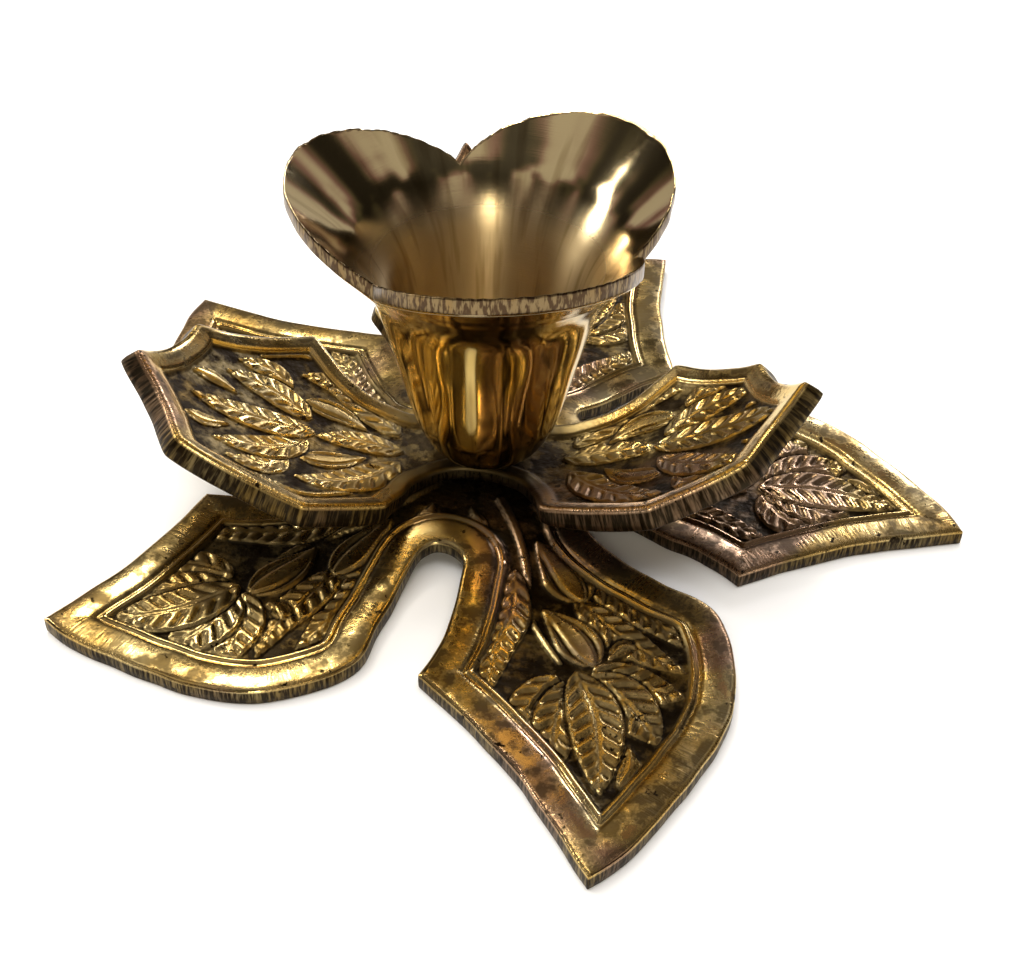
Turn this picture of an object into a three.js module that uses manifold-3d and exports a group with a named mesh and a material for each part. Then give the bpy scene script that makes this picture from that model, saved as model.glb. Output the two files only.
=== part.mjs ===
// Brass leaf lamp: a three-lobed oil cup screwed down on two cast leaf plates.
// Millimetres, +Z up. The origin is where the centre stud's axis meets the table.
import * as THREE from 'three';
import { mergeVertices } from 'three/addons/utils/BufferGeometryUtils.js';
import Module from 'manifold-3d';

const wasm = await Module();
wasm.setup();

// ---- Driving dimensions ----

// Lower plate: five swirled leaves cast in one, lying almost flat on the table.
// Each has its own direction in degrees and its own reach from stud axis to tip.
const lowerLeaves = [
  { turn: -79, reach: 80.1 },
  { turn: -7.8, reach: 77.7 },
  { turn: 64.2, reach: 79.1 },
  { turn: 137.2, reach: 76 },
  { turn: 209.2, reach: 73.4 },
];
const lowerThickness = 3;
const lowerShoulder = 42.5;        // along the leaf, where its clockwise side has a sharp shoulder
const lowerShoulderWidth = 16.7;   // leaf axis to that shoulder
const lowerBulge = 46.7;           // along the leaf, where its other side is widest
const lowerBulgeWidth = 29;
const gapEnd = 20.4;               // stud axis to the round inner end of the gap between leaves
const gapWidth = 8;
const gapTurn = 45;                // degrees from a leaf's axis to the gap on its wide side
// The edge's bends, as [share of the way to the tip, share of the half width still left].
const hollowSideBends = [[0.22, 0.7], [0.52, 0.36], [0.79, 0.15]];
const wideSideBends = [[0.9, 0.21], [0.6, 0.6], [0.32, 0.87]];
const wideSideStart = 0.78;        // where the wide side leaves the gap, as a share of lowerBulge
// The edge round the gap, as [mm beyond the gap's end, half gap widths to the side].
const gapBends = [[17, -1.15], [5, -1], [0.8, -0.6], [0, 0.1], [1.6, 0.8], [5, 1], [17, 1.3]];
const domeStart = 14;              // radius where the raised hub starts to fall
const domeEnd = 34;                // radius where the leaves reach the table

// Upper plate: three leaves cast in one and bent up. Each has its own bend. Its necks say how
// wide it is where it leaves the hub, and what share of the widening to the shoulder is reached
// midway, first on its clockwise side and then on the other.
const upperThickness = 2.6;        // at the hub
const upperRimThickness = 4;       // at the shoulders and beyond
const upperLeaves = [
  { turn: 184.5, reach: 53.2, rise: 20.6, breadth: 1.04, necks: [[9.2, 0.3], [15.6, 0.5]] },
  { turn: 349.8, reach: 48.6, rise: 21.5, breadth: 0.88, necks: [[15.2, 0.5], [8.8, 0.3]] },
  { turn: 96.0, reach: 52, rise: 28.8, breadth: 0.8, necks: [[9.6, 0.3], [9.2, 0.3]] },
];
const upperBendStart = 12;         // radius of the flat seat under the cup
const upperBendPower = 1.35;       // how fast a leaf steepens from there
const upperLipShare = 0.25;        // part of the rise that comes in the last few mm
const upperLipPower = 8;
const upperTipLength = 7;          // from the far corners to the tip
const upperCornerWidth = 14.6;     // leaf axis to a far corner
const upperShoulder = 28;          // along the leaf, where its sides are widest
const upperShoulderWidth = 21.7;
const upperNeck = 12.2;            // along the leaf, where it leaves the hub
const upperNeckMiddle = 0.52;      // share of the way from neck to shoulder
const upperHubRadius = 7.6;
const frontGapTurn = 262;          // the wide gap in front, between the first two leaves
const frontGapEnd = 5.6;           // stud axis to its inner end
const frontGapWidth = 20.6;
// The gap's edge, as [mm beyond its end, half gap widths to the side].
const frontGapBends = [[0, 0], [0.8, 0.42], [2.6, 0.75], [5.6, 0.92], [9.6, 1.02], [14.6, 1.15],
  [30, 1.5]];
// Middle of the outer stretches of edge, as [share along it, share of the change in width].
const upperSideBend = [0.52, 0.58];
const upperTipBend = [0.4, 0.52];

// Oil cup: a turned bell whose rim is cut into three lobes.
const cupLobeCount = 3;
const cupFirstNotch = 104;         // degrees
const cupHeight = 43.8;            // underside to the lower edge of a lobe's rim
const cupLobeRadius = 30.2;
const cupNotchRadius = 21.6;
const cupNotchDrop = 8.1;          // from the top of a lobe down to a notch
const cupLobeBow = 0.83;           // roundness of a lobe's edge in plan: less is squarer
const cupNeckRadius = 17.6;
const cupNeckBelow = 6.1;          // notch down to the neck, where the flare starts
const cupMiddleRadius = 14.9;
const cupMiddle = 20;              // underside up to the middle of the body
const cupBodyRadius = 12.3;
const cupBodyStart = 9.5;          // underside up to where the round bottom ends
const cupFootRadius = 5.5;
// The round bottom's bends, as [share of the widening from foot to body, share of its height].
const cupBottomBends = [[0.46, 0.12], [0.81, 0.57]];
const cupFlareBend = [0.5, 0.53];  // middle of the flare, as shares of its widening and rise
const cupFlareOverrun = 2;         // how far the flare is turned before the lobes are cut
const cupWall = 2;
const cupFloor = 5.5;              // thick floor that holds the stud's thread

// Hardware on the axis.
const studRadius = 2.5;
const studEngagement = 4;          // length of stud inside the cup's floor
const nutAcrossFlats = 8;
const nutHeight = 2;
const washerThickness = 0.7;
const washerRadius = 4.6;
const washerSlit = 1;
const washerSlitTurn = 40;         // degrees
const seatWasherRadius = 5.2;
const seatWasherThickness = 0.4;
const tableClearance = 0.3;        // stud end above the table
const nutStandOff = 0.2;           // nut's lower face above the stud's end

const fitGap = 0.3;                // running gap between neighbours
const lowerHubThickness = 2.4;
const trimAllowance = 1.5;         // sheet beyond a leaf's tip before the outline is cut

// ---- The stack of pieces along the axis, from the table up ----

const nutZ = tableClearance + nutStandOff;
const washerZ = nutZ + nutHeight + fitGap;
const lowerHubZ = washerZ + washerThickness + fitGap;
const upperHubZ = lowerHubZ + lowerHubThickness + fitGap;
const upperHubTop = upperHubZ + upperThickness;
const seatZ = upperHubTop + fitGap;
const cupZ = seatZ + seatWasherThickness + fitGap;
const studTop = cupZ + studEngagement;
const boreRadius = studRadius + fitGap;

// ---- Helpers ----

const roundSegments = 64;
const radians = THREE.MathUtils.degToRad;
const v2 = (x, y) => new THREE.Vector2(x, y);
const { lerp, smoothstep } = THREE.MathUtils;
const turned = (point, degrees) => point.clone().rotateAround(v2(0, 0), radians(degrees));
const polar = (radius, degrees) => turned(v2(radius, 0), degrees);

function solidOf(geometry) {
  const bare = geometry.index ? geometry.clone() : geometry;
  bare.deleteAttribute('normal');
  bare.deleteAttribute('uv');
  const merged = mergeVertices(bare, 1e-4);
  return new wasm.Manifold(new wasm.Mesh({
    numProp: 3,
    vertProperties: new Float32Array(merged.attributes.position.array),
    triVerts: new Uint32Array(merged.index.array),
  }));
}

function meshOf(name, solid, material) {
  const cut = solid.getMesh();
  const geometry = new THREE.BufferGeometry();
  geometry.setAttribute('position', new THREE.BufferAttribute(cut.vertProperties, 3));
  geometry.setIndex(new THREE.BufferAttribute(cut.triVerts, 1));
  geometry.computeVertexNormals();
  const mesh = new THREE.Mesh(geometry, material);
  mesh.name = name;
  return mesh;
}

// A profile of (radius, height) points turned about +Z.
function turnedSolid(profile, segments = roundSegments) {
  return solidOf(new THREE.LatheGeometry(profile, segments).rotateX(Math.PI / 2));
}

// An outline in plan, extruded upwards from below the object to above it.
function prism(outline, bottom = -1, top = 80) {
  const extruded = new THREE.ExtrudeGeometry(new THREE.Shape(outline), {
    depth: top - bottom,
    bevelEnabled: false,
    steps: 1,
  });
  return solidOf(extruded.translate(0, 0, bottom));
}

function curveThrough(points, divisions) {
  return new THREE.SplineCurve(points).getPoints(divisions);
}

// A sheet turned about the axis. Its upper side is heightAt(radius), and its thickness is
// measured square to that.
function dishedSheet(heightAt, thicknessAt, reach, steps) {
  const slopeStep = 0.01;
  const upper = [];
  const lower = [];
  for (let i = 0; i <= steps; i += 1) {
    const radius = reach * i / steps;
    const slope = (heightAt(radius + slopeStep) - heightAt(radius)) / slopeStep;
    const length = Math.hypot(1, slope);
    const thickness = thicknessAt(radius);
    upper.push(v2(radius, heightAt(radius)));
    lower.push(v2(i === 0 ? 0 : radius + thickness * slope / length, heightAt(radius) - thickness / length));
  }
  return turnedSolid([...lower, ...upper.reverse()]);
}

function ringProfile(inner, outer, bottom, top) {
  return [v2(inner, bottom), v2(outer, bottom), v2(outer, top), v2(inner, top), v2(inner, bottom)];
}

const bore = turnedSolid([v2(0, 0), v2(boreRadius, 0), v2(boreRadius, cupZ), v2(0, cupZ)]);

function brass(color, roughness) {
  return new THREE.MeshStandardMaterial({ color, roughness, metalness: 1 });
}

// ---- Lower leaf plate ----

// One leaf's edge in its own frame, x along the leaf: from its sharp shoulder to the tip,
// round the wide side, through the gap's inner end and up to the next leaf's shoulder.
function lowerLeafEdge(reach, pitch) {
  const tip = v2(reach, 0);
  const shoulder = v2(lowerShoulder, -lowerShoulderWidth);
  const bulge = v2(lowerBulge, lowerBulgeWidth);
  const towardTip = (start, bends) => bends.map(([share, width]) => v2(
    lerp(start.x, reach, share), start.y * width));
  const hollowSide = curveThrough([shoulder, ...towardTip(shoulder, hollowSideBends), tip], 10);
  const wideSide = curveThrough([
    tip,
    ...towardTip(bulge, wideSideBends),
    bulge,
    v2(lowerBulge * wideSideStart, lowerBulgeWidth),
    ...gapBends.map(([beyond, side]) => turned(v2(gapEnd + beyond, side * gapWidth / 2), gapTurn)),
    turned(shoulder, pitch),
  ], 44);
  return [...hollowSide.slice(1), ...wideSide.slice(1)];
}

function lowerLeafPlate() {
  const outline = lowerLeaves.flatMap(({ turn, reach }, i) => {
    const next = lowerLeaves[(i + 1) % lowerLeaves.length];
    const pitch = THREE.MathUtils.euclideanModulo(next.turn - turn, 360);
    return lowerLeafEdge(reach, pitch).map((point) => turned(point, turn));
  });
  const sheetRadius = Math.max(...lowerLeaves.map(({ reach }) => reach)) + trimAllowance;
  const hubTop = lowerHubZ + lowerHubThickness;
  const fall = [0, 0.2, 0.35, 0.5, 0.65, 0.8, 1].map((share) => {
    const radius = lerp(domeStart, domeEnd, share);
    return { radius, drop: smoothstep(share, 0, 1) };
  });
  const upperSide = fall.map(({ radius, drop }) => (
    v2(radius, lerp(hubTop, lowerThickness, drop))));
  const underside = fall.map(({ radius, drop }) => v2(radius, lerp(lowerHubZ, 0, drop)));
  const profile = [
    v2(0, lowerHubZ),
    ...underside,
    v2(sheetRadius, 0),
    v2(sheetRadius, lowerThickness),
    ...upperSide.reverse(),
    v2(0, hubTop),
  ];
  return turnedSolid(profile).intersect(prism(outline)).subtract(bore);
}

// ---- Upper leaf plate ----

// A stretch of edge from start to end that bends in its middle.
function bentEdge(start, end, [along, across]) {
  const middle = v2(lerp(start.x, end.x, along), lerp(start.y, end.y, across));
  return curveThrough([start, middle, end], 6).slice(1);
}

// Half of a leaf's edge, from the hub by its neck, shoulder and far corner to the tip.
function upperHalfEdge(reach, breadth, [neckWidth, widening]) {
  const corner = v2(reach - upperTipLength, upperCornerWidth * breadth);
  const shoulder = v2(upperShoulder, upperShoulderWidth * breadth);
  const neck = v2(upperNeck, neckWidth);
  return [
    v2(0, upperHubRadius),
    neck,
    ...bentEdge(neck, shoulder, [upperNeckMiddle, widening]),
    ...bentEdge(shoulder, corner, upperSideBend),
    ...bentEdge(corner, v2(reach, 0), upperTipBend),
  ];
}

function upperLeaf({ turn, reach, rise, breadth, necks }) {
  const heightAt = (radius) => {
    const share = Math.max(0, (radius - upperBendStart) / (reach - upperBendStart));
    const bend = (1 - upperLipShare) * share ** upperBendPower + upperLipShare * share ** upperLipPower;
    return upperHubTop + rise * bend;
  };
  const clockwiseSide = upperHalfEdge(reach, breadth, necks[0]).map((point) => v2(point.x, -point.y));
  const otherSide = upperHalfEdge(reach, breadth, necks[1]).slice(0, -1);
  const outline = [...clockwiseSide, ...otherSide.reverse()].map((point) => turned(point, turn));
  const thicknessAt = (radius) => lerp(upperThickness, upperRimThickness,
    smoothstep(radius, upperBendStart, upperShoulder));
  const sheet = dishedSheet(heightAt, thicknessAt, reach + trimAllowance, 26);
  return sheet.intersect(prism(outline));
}

function frontGap() {
  const side = (sign) => frontGapBends.map(([beyond, halfWidths]) => (
    v2(frontGapEnd + beyond, sign * halfWidths * frontGapWidth / 2)));
  const edge = curveThrough([...side(-1).reverse(), ...side(1).slice(1)], 40);
  return prism(edge.map((point) => turned(point, frontGapTurn)));
}

function upperLeafPlate() {
  let plate = turnedSolid([v2(0, upperHubZ), v2(upperHubRadius, upperHubZ),
    v2(upperHubRadius, upperHubTop), v2(0, upperHubTop)]);
  for (const leaf of upperLeaves) plate = plate.add(upperLeaf(leaf));
  return plate.subtract(frontGap()).subtract(bore);
}

// ---- Oil cup ----

function oilCup() {
  const rimTop = cupZ + cupHeight;
  const notchZ = rimTop - cupNotchDrop;
  const flare = v2(cupLobeRadius - cupNotchRadius, cupNotchDrop);
  const [flareAcross, flareUp] = cupFlareBend;
  const outer = curveThrough([
    v2(cupFootRadius, cupZ),
    ...cupBottomBends.map(([across, up]) => (
      v2(lerp(cupFootRadius, cupBodyRadius, across), cupZ + cupBodyStart * up))),
    v2(cupBodyRadius, cupZ + cupBodyStart),
    v2(cupMiddleRadius, cupZ + cupMiddle),
    v2(cupNeckRadius, notchZ - cupNeckBelow),
    v2(cupNotchRadius, notchZ),
    v2(cupNotchRadius + flare.x * flareAcross, notchZ + flare.y * flareUp),
    v2(cupLobeRadius, rimTop).addScaledVector(flare.clone().normalize(), cupFlareOverrun),
  ], 26);
  const floorZ = cupZ + cupFloor;
  const inner = [];
  for (let i = outer.length - 1; i > 0; i -= 1) {
    const along = outer[Math.min(i + 1, outer.length - 1)].clone().sub(outer[i - 1]).normalize();
    const point = v2(outer[i].x - along.y * cupWall, outer[i].y + along.x * cupWall);
    if (point.y > floorZ + 1 && point.x > 0) inner.push(point);
  }
  const floorRadius = inner[inner.length - 1].x - 1;
  const bell = turnedSolid([v2(0, cupZ), ...outer, ...inner, v2(floorRadius, floorZ), v2(0, floorZ)]);

  const rim = [];
  const stepsPerLobe = 22;
  for (let lobe = 0; lobe < cupLobeCount; lobe += 1) {
    for (let step = 0; step < stepsPerLobe; step += 1) {
      const share = step / stepsPerLobe;
      const bow = Math.sin(Math.PI * share) ** cupLobeBow;
      rim.push(polar(lerp(cupNotchRadius, cupLobeRadius, bow),
        cupFirstNotch + (lobe + share) * 360 / cupLobeCount));
    }
  }
  const threadTop = studTop + fitGap;
  const threadHole = turnedSolid([v2(0, cupZ - 1), v2(boreRadius, cupZ - 1),
    v2(boreRadius, threadTop), v2(0, threadTop)], 32);
  return bell.intersect(prism(rim)).subtract(threadHole);
}

// ---- Hardware ----

function centreStud() {
  return turnedSolid([v2(0, tableClearance), v2(studRadius, tableClearance),
    v2(studRadius, studTop), v2(0, studTop)], 32);
}

function hexNut() {
  const corners = [];
  for (let side = 0; side < 6; side += 1) {
    corners.push(polar(nutAcrossFlats / 2 / Math.cos(Math.PI / 6), side * 60));
  }
  return prism(corners, nutZ, nutZ + nutHeight).subtract(bore);
}

function springWasher() {
  const slit = new THREE.BoxGeometry(washerRadius, washerSlit, washerThickness * 3)
    .translate((boreRadius + washerRadius) / 2, 0, washerZ)
    .rotateZ(radians(washerSlitTurn));
  return turnedSolid(ringProfile(boreRadius, washerRadius, washerZ, washerZ + washerThickness), 32)
    .subtract(solidOf(slit));
}

function seatWasher() {
  return turnedSolid(
    ringProfile(boreRadius, seatWasherRadius, seatZ, seatZ + seatWasherThickness), 32);
}

// ---- The lamp ----

const castBrass = brass(0x9c7a33, 0.38);
const turnedBrass = brass(0xc09a45, 0.18);
const barBrass = brass(0xb08d40, 0.35);

const lamp = new THREE.Group();
lamp.add(meshOf('lower_leaf_plate', lowerLeafPlate(), castBrass));
lamp.add(meshOf('upper_leaf_plate', upperLeafPlate(), castBrass.clone()));
lamp.add(meshOf('oil_cup', oilCup(), turnedBrass));
lamp.add(meshOf('centre_stud', centreStud(), barBrass));
lamp.add(meshOf('hex_nut', hexNut(), barBrass.clone()));
lamp.add(meshOf('spring_washer', springWasher(), barBrass.clone()));
lamp.add(meshOf('seat_washer', seatWasher(), barBrass.clone()));

export default lamp;
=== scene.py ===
# A flower-shaped brass oil lamp: a tulip cup on two cast plates of chased leaves.
# Everything is in metres, in the part's own frame, +Z up from the table.
import bpy
import math
import numpy as np
from mathutils import Matrix, Vector
from mathutils.geometry import delaunay_2d_cdt
from mathutils.kdtree import KDTree


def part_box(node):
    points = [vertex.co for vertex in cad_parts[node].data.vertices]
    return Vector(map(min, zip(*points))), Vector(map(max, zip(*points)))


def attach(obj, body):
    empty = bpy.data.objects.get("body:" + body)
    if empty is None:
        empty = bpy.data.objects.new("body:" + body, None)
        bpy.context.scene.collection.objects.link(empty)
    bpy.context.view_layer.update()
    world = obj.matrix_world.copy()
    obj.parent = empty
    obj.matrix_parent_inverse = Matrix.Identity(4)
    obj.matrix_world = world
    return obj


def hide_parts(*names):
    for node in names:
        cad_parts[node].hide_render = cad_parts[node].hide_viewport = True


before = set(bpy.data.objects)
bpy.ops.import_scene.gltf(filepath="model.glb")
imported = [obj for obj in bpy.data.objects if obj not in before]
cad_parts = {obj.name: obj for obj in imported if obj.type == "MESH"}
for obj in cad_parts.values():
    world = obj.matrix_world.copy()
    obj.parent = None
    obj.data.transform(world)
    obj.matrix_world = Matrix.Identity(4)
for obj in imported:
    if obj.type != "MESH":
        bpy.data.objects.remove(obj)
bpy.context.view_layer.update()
MM = 0.001


# ---- Camera, table and studio ----
# The lamp stands on a pale matt table under big soft lamps. The room round it is dim and a
# little coloured, because polished brass shows nothing of its own: it shows the room.

def hex_colour(code, alpha=1.0):
    """A screen colour such as C9A24A, as the linear values that shaders take."""
    channels = [int(code[i:i + 2], 16) / 255 for i in (0, 2, 4)]
    linear = [c / 12.92 if c <= 0.04045 else ((c + 0.055) / 1.055) ** 2.4 for c in channels]
    return (*linear, alpha)


def add_node(tree, kind, inputs, **settings):
    """Adds a node. Each input takes a value, or the node or socket to link it to."""
    node = tree.nodes.new(kind)
    for name, value in settings.items():
        setattr(node, name, value)
    for socket, value in inputs.items():
        if isinstance(value, bpy.types.Node):
            value = value.outputs[0]
        if isinstance(value, bpy.types.NodeSocket):
            tree.links.new(value, node.inputs[socket])
        else:
            node.inputs[socket].default_value = value
    return node


def set_ramp(ramp, stops):
    elements = ramp.color_ramp.elements
    while len(elements) < len(stops):
        elements.new(0.5)
    for element, (place, colour) in zip(elements, stops):
        element.position = place
        element.color = hex_colour(colour)


camera_elevation = math.radians(39.74)
camera_roll = math.radians(1.62)
camera_distance = 246.7 * MM
camera_target = Vector((4.4, 0.4, 0)) * MM
forward = Vector((0, math.cos(camera_elevation), -math.sin(camera_elevation)))
level_right = Vector((1, 0, 0))
level_up = level_right.cross(forward)
right = level_right * math.cos(camera_roll) + level_up * math.sin(camera_roll)
up = level_up * math.cos(camera_roll) - level_right * math.sin(camera_roll)
camera_data = bpy.data.cameras.new("camera")
camera_data.lens = 51.9
camera_data.sensor_width = 36
camera_data.clip_start = 0.01
camera = bpy.data.objects.new("camera", camera_data)
camera.matrix_world = Matrix.Translation(camera_target - forward * camera_distance) @ Matrix(
    (right, up, -forward)).transposed().to_4x4()
bpy.context.collection.objects.link(camera)
bpy.context.scene.camera = camera

table_size = 6.0
table_mesh = bpy.data.meshes.new("table")
half = table_size / 2
table_mesh.from_pydata([(-half, -half, 0), (half, -half, 0), (half, half, 0), (-half, half, 0)], [],
                       [(0, 1, 2, 3)])
table = bpy.data.objects.new("table", table_mesh)
bpy.context.collection.objects.link(table)
table_paint = bpy.data.materials.new("matt white laminate")
table_paint.use_nodes = True
table_shader = table_paint.node_tree.nodes["Principled BSDF"]
table_shader.inputs["Base Color"].default_value = hex_colour("F6F5F3")
table_shader.inputs["Roughness"].default_value = 0.85
table_shader.inputs["Specular IOR Level"].default_value = 0.15
table_mesh.materials.append(table_paint)


def soft_lamp(name, place, size, watts, colour):
    """A square diffuser panel that faces the middle of the lamp."""
    data = bpy.data.lights.new(name, "AREA")
    data.shape = "RECTANGLE"
    data.size, data.size_y = size
    data.energy = watts
    data.color = hex_colour(colour)[:3]
    lamp = bpy.data.objects.new(name, data)
    lamp.location = place
    lamp.rotation_euler = (Vector((0, 0, 0.02)) - lamp.location).to_track_quat("-Z", "Y").to_euler()
    bpy.context.collection.objects.link(lamp)
    return lamp


for name, place, size, watts, colour, mirrored in [
        ("overhead_panel", (-0.1, 0.1, 1.1), (1.4, 1.4), 19.5, "FFFFFF", False),
        ("ceiling_lamp", (-0.25, 0.75, 1.0), (0.28, 0.2), 5.0, "FFF6E0", True),
        ("window_left", (-0.9, 0.3, 0.5), (0.16, 0.5), 3.5, "FFFBF2", True),
        ("window_behind", (0.45, 1.0, 0.55), (0.3, 0.2), 3.0, "F7F6FF", True),
        ("front_lamp", (0.0, -0.75, 0.42), (0.1, 0.4), 1.6, "FFF4DC", True)]:
    lamp = soft_lamp(name, Vector(place), size, watts, colour)
    lamp.visible_glossy = mirrored

world = bpy.data.worlds.new("dim_room")
bpy.context.scene.world = world
world.use_nodes = True
room = world.node_tree
room_out = room.nodes["Background"]
direction = add_node(room, "ShaderNodeTexCoord", {}).outputs["Generated"]
height = add_node(room, "ShaderNodeSeparateXYZ", {"Vector": direction}).outputs["Z"]
height_share = add_node(room, "ShaderNodeMapRange", {"Value": height, "From Min": -0.1})
height_ramp = add_node(room, "ShaderNodeValToRGB", {"Fac": height_share})
set_ramp(height_ramp, [(0.0, "6A6154"), (0.3, "2A251E"), (0.7, "3C382F"), (1.0, "8C887E")])
patches = add_node(room, "ShaderNodeTexNoise", {"Vector": direction, "Scale": 3.4, "Detail": 1.5})
patch_ramp = add_node(room, "ShaderNodeValToRGB", {"Fac": patches})
set_ramp(patch_ramp, [(0.44, "14130F"), (0.50, "5F5C46"), (0.56, "A87F84"), (0.62, "F4EEE0")])
room_mix = add_node(room, "ShaderNodeMixRGB", {"Fac": 0.6, "Color1": height_ramp, "Color2": patch_ramp})
room.links.new(room_mix.outputs["Color"], room_out.inputs["Color"])
room_out.inputs["Strength"].default_value = 0.9
bpy.context.scene.view_settings.view_transform = "Standard"


# ---- Lower leaf plate ----
# One sand-cast brass plate of five swirled leaves. Each leaf has a smooth filed border and a
# sunk field of chased ornament. It was dipped dark, then rubbed bright on the high parts.

def smooth(value, low, high):
    share = np.clip((value - low) / (high - low), 0, 1)
    return share * share * (3 - 2 * share)


def curve_through(points, divisions):
    """A Catmull-Rom curve through the points, with so many steps from point to point."""
    points = np.asarray(points, float)
    ends = np.vstack([points[0], points, points[-1]])
    share = np.linspace(0, 1, divisions, endpoint=False)[:, None]
    pieces = []
    for before, start, end, after in zip(ends, ends[1:], ends[2:], ends[3:]):
        pull = (end - before) / 2
        push = (after - start) / 2
        pieces.append((2 * start - 2 * end + pull + push) * share ** 3
                      + (3 * end - 3 * start - 2 * pull - push) * share ** 2 + pull * share + start)
    return np.vstack([*pieces, points[-1:]])


def turned(points, degrees):
    angle = math.radians(degrees)
    turn = np.array([[math.cos(angle), math.sin(angle)], [-math.sin(angle), math.cos(angle)]])
    return np.asarray(points, float) @ turn


def even_loop(points, spacing):
    """The closed outline again, with points the same distance apart."""
    closed = np.vstack([points, points[:1]])
    along = np.r_[0, np.cumsum(np.hypot(*np.diff(closed, axis=0).T))]
    count = int(along[-1] / spacing)
    wanted = np.linspace(0, along[-1], count, endpoint=False)
    return np.column_stack([np.interp(wanted, along, closed[:, i]) for i in (0, 1)])


def ripple(points, size, seed):
    """Smooth random unevenness from -1 to 1 over plan points, with bumps about size mm wide."""
    draw = np.random.default_rng(seed)
    waves = 14
    total = np.zeros(len(points))
    for _ in range(waves):
        angle = draw.uniform(0, 2 * math.pi)
        length = size * draw.uniform(1.5, 3.2)
        phase = draw.uniform(0, 2 * math.pi)
        along = points[:, 0] * math.cos(angle) + points[:, 1] * math.sin(angle)
        total += np.sin(2 * math.pi * along / length + phase)
    return total / waves ** 0.5 / 1.6


lower_hub_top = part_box("lower_leaf_plate")[1].z / MM
lower_thickness = 3.0
lower_hub_thickness = 2.4
dome_start, dome_end = 14.0, 34.0
lower_leaves = [(-79, 80.1), (-7.8, 77.7), (64.2, 79.1), (137.2, 76.0), (209.2, 73.4)]
shoulder = np.array([42.5, -16.7])
bulge = np.array([46.7, 29.0])
gap_end, half_gap, gap_turn = 20.4, 4.0, 45
# The sides' bends are (share of the way to the tip, share of the half width still left). The
# gap's are (mm beyond its inner end, half gap widths to the side).
hollow_side_bends = [(0.22, 0.7), (0.52, 0.36), (0.79, 0.15)]
wide_side_bends = [(0.9, 0.21), (0.6, 0.6), (0.32, 0.87)]
wide_side_start = 0.78
gap_bends = [(17, -1.15), (5, -1), (0.8, -0.6), (0, 0.1), (1.6, 0.8), (5, 1), (17, 1.3)]


def lower_leaf_edge(reach, pitch):
    """A leaf's edge from its sharp shoulder round the tip and the gap to the next shoulder."""
    tip = np.array([reach, 0])

    def toward_tip(start, bends):
        return [(start[0] + (reach - start[0]) * share, start[1] * width) for share, width in bends]

    gap = [turned([gap_end + beyond, side * half_gap], gap_turn) for beyond, side in gap_bends]
    hollow_side = curve_through([shoulder, *toward_tip(shoulder, hollow_side_bends), tip], 16)
    wide_side = curve_through([tip, *toward_tip(bulge, wide_side_bends), bulge,
                               [bulge[0] * wide_side_start, bulge[1]], *gap,
                               turned(shoulder, pitch)], 16)
    return np.vstack([hollow_side[1:], wide_side[1:]])


# Chased ornament. Each figure is (kind, spine points in the leaf's own mm, width at the widest).
lower_figures = [
    ("stem", [(9, 0.5), (16, 2.2), (24, 2.6), (33, 1.4), (43, 4.5)], 1.9),
    ("scroll", [(36, 22.8), (42, 24.8), (48, 24.2)], 1.5),
    ("scroll", [(47, -7.6), (54, -6.6), (60, -3.6)], 1.5),
    ("feather", [(18, -0.8), (25, -3.4), (32, -7.2), (39.5, -10.4)], 7.2),
    ("feather", [(24, 0.8), (32, -1.6), (39, -4.6), (47.5, -7.6)], 6.4),
    ("feather", [(24, 11.6), (31, 15.6), (37, 19.4), (43, 22.0)], 6.2),
    ("feather", [(30, 8.8), (36.5, 12.6), (43, 16.6), (48.5, 21.5)], 6.6),
    ("drop", [(19.0, 4.6), (25, 7.8), (31.5, 9.8)], 7.6),
    ("drop", [(31.5, 3.4), (37, 6.4), (44.5, 8.6)], 6.8),
    ("feather", [(45, 3.4), (50, -1.6), (56.5, -5.2)], 6.6),
    ("feather", [(45, 8.4), (48.5, 14.0), (52.5, 20.4)], 7.6),
    ("feather", [(46, 5.0), (54, 1.6), (62.5, -1.4)], 6.8),
    ("feather", [(46, 7.4), (52.5, 11.8), (60.5, 14.2)], 8.0),
    ("feather", [(45, 5.8), (55, 6.8), (67, 4.4)], 8.4),
    ("drop", [(59, 10.0), (63, 9.4), (66.5, 7.6)], 3.4),
    ("drop", [(43, 11.0), (41.5, 13.4), (42, 15.6)], 3.0),
    ("drop", [(10, -4.5), (14, -3.8), (18, -3.2)], 3.2),
    ("drop", [(11, 5.0), (15, 7.8), (18.5, 10.6)], 3.2),
]
barb_pitch = 2.5
figure_edge = 0.32


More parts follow.
